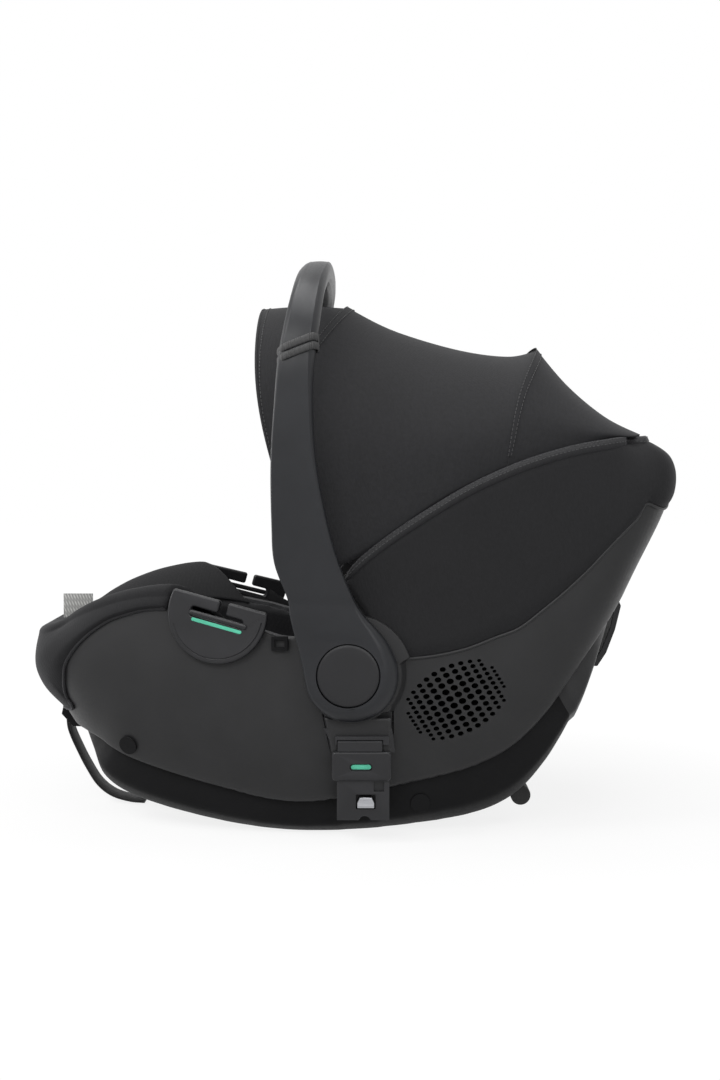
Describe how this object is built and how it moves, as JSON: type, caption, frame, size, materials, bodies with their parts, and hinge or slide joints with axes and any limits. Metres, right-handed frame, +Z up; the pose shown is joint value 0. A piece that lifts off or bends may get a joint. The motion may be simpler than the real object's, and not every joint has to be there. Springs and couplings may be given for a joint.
{
  "type": "infant car seat",
  "caption": "Rocker-bottomed infant car seat with a swinging carry handle, folding canopy, sliding head support, three-point harness and base connectors.",
  "frame": {"origin": "middle of the bounding box, on the floor that the rocker base stands on", "axes": "+X towards the head end of the seat, +Z up, Y across; the child's left side is -Y"},
  "size_m": [0.6552, 0.44, 0.5673],
  "materials": {
    "shell_plastic": "fine moulded grain",
    "base_plastic": "fine moulded grain",
    "trim_plastic": "satin moulded",
    "handle_plastic": "satin moulded",
    "foam": "bead foam",
    "seat_fabric": "padded knit",
    "cover_fabric": "close woven",
    "webbing": "woven webbing",
    "bow_plastic": "drawn rod",
    "steel": "zinc plated",
    "rubber": "moulded",
    "green_accent": "gloss",
    "grey_tag": "woven",
    "red_button": "gloss"
  },
  "bodies": {
    "seat": {"upper_shell": "shell_plastic", "rocker_base": "base_plastic", "seat_pan": "base_plastic", "foam_liner": "foam", "seat_cushion": "seat_fabric", "centre_rib": "base_plastic", "front_cover": "cover_fabric", "side_skirt": "cover_fabric", "pull_tag": "grey_tag", "vent_grille_left": "shell_plastic", "vent_grille_right": "shell_plastic", "belt_guide_left": "trim_plastic", "belt_guide_right": "trim_plastic", "belt_guide_marks": "green_accent", "rim_hooks": "base_plastic", "screw_caps": "base_plastic", "rear_feet": "rubber", "rear_belt_hook": "base_plastic", "pivot_plate_left": "trim_plastic", "pivot_plate_right": "trim_plastic", "connector_left": "trim_plastic", "connector_right": "trim_plastic", "connector_windows": "green_accent", "button_springs": "steel", "canopy_pins": "steel", "canopy_rear_panel": "cover_fabric", "shoulder_straps": "webbing", "shoulder_pads": "seat_fabric", "lap_straps": "webbing", "buckle_tongues": "steel", "buckle_body": "trim_plastic", "crotch_strap": "webbing", "crotch_pad": "seat_fabric", "adjuster_bezel": "base_plastic", "adjuster_mouth": "base_plastic", "adjuster_strap": "webbing"},
    "handle": {"handle_loop": "handle_plastic", "handle_hub_left": "handle_plastic", "handle_hub_right": "handle_plastic", "elastic_loops": "webbing"},
    "hub_button_left_body": {"hub_button_left": "trim_plastic", "lock_gear_left": "steel"},
    "hub_button_right_body": {"hub_button_right": "trim_plastic", "lock_gear_right": "steel"},
    "connector_button_left_body": {"connector_button_left": "trim_plastic"},
    "connector_button_right_body": {"connector_button_right": "trim_plastic"},
    "connector_latch_left_body": {"connector_latch_left": "steel"},
    "connector_latch_right_body": {"connector_latch_right": "steel"},
    "canopy_rear": {"bow_rear": "bow_plastic", "bow_rear_eyes": "bow_plastic", "canopy_front_panel": "cover_fabric"},
    "canopy_front": {"bow_front": "bow_plastic", "bow_front_eyes": "bow_plastic", "visor": "cover_fabric"},
    "head_support": {"head_shell": "base_plastic", "head_pad": "seat_fabric"},
    "buckle_button_body": {"buckle_button": "red_button"},
    "adjuster_button_body": {"adjuster_button": "trim_plastic"}
  },
  "joints": [
    {"name": "handle_swing", "type": "hinge", "parent": "seat", "child": "handle", "pos_m": [-0.0035, 0, 0.1633], "axis": [0, 1, 0], "range_deg": [0, 110]},
    {"name": "hub_button_left_press", "type": "slide", "parent": "handle", "child": "hub_button_left_body", "axis": [0, 1, 0], "range_m": [0, 0.004], "stiffness_N_per_m": 1200, "deforming": ["button_springs"]},
    {"name": "hub_button_right_press", "type": "slide", "parent": "handle", "child": "hub_button_right_body", "axis": [0, -1, 0], "range_m": [0, 0.004], "stiffness_N_per_m": 1200, "deforming": ["button_springs"]},
    {"name": "connector_button_left_press", "type": "slide", "parent": "seat", "child": "connector_button_left_body", "axis": [0, 1, 0], "range_m": [0, 0.0035], "stiffness_N_per_m": 900},
    {"name": "connector_button_right_press", "type": "slide", "parent": "seat", "child": "connector_button_right_body", "axis": [0, -1, 0], "range_m": [0, 0.0035], "stiffness_N_per_m": 900},
    {"name": "connector_latch_left_pull", "type": "slide", "parent": "seat", "child": "connector_latch_left_body", "axis": [0, 1, 0], "range_m": [0, 0.0035]},
    {"name": "connector_latch_right_pull", "type": "slide", "parent": "seat", "child": "connector_latch_right_body", "axis": [0, -1, 0], "range_m": [0, 0.0035]},
    {"name": "canopy_rear_fold", "type": "hinge", "parent": "seat", "child": "canopy_rear", "pos_m": [0.03, 0, 0.215], "axis": [0, 1, 0], "range_deg": [0, 14], "deforming": ["canopy_rear_panel"]},
    {"name": "canopy_front_fold", "type": "hinge", "parent": "canopy_rear", "child": "canopy_front", "pos_m": [0.03, 0, 0.215], "axis": [0, 1, 0], "range_deg": [0, 30], "deforming": ["canopy_front_panel"]},
    {"name": "head_support_slide", "type": "slide", "parent": "seat", "child": "head_support", "axis": [0.6947, 0, 0.7193], "range_m": [0, 0.05]},
    {"name": "buckle_button_press", "type": "slide", "parent": "seat", "child": "buckle_button_body", "axis": [0, 0, -1], "range_m": [0, 0.0028], "stiffness_N_per_m": 1500},
    {"name": "adjuster_button_press", "type": "slide", "parent": "seat", "child": "adjuster_button_body", "axis": [-0.342, 0, -0.9397], "range_m": [0, 0.0035], "stiffness_N_per_m": 900}
  ],
  "couplings": [
    {"joint": "connector_latch_left_pull", "follows": "connector_button_left_press", "ratio": 1},
    {"joint": "connector_latch_right_pull", "follows": "connector_button_right_press", "ratio": 1}
  ]
}
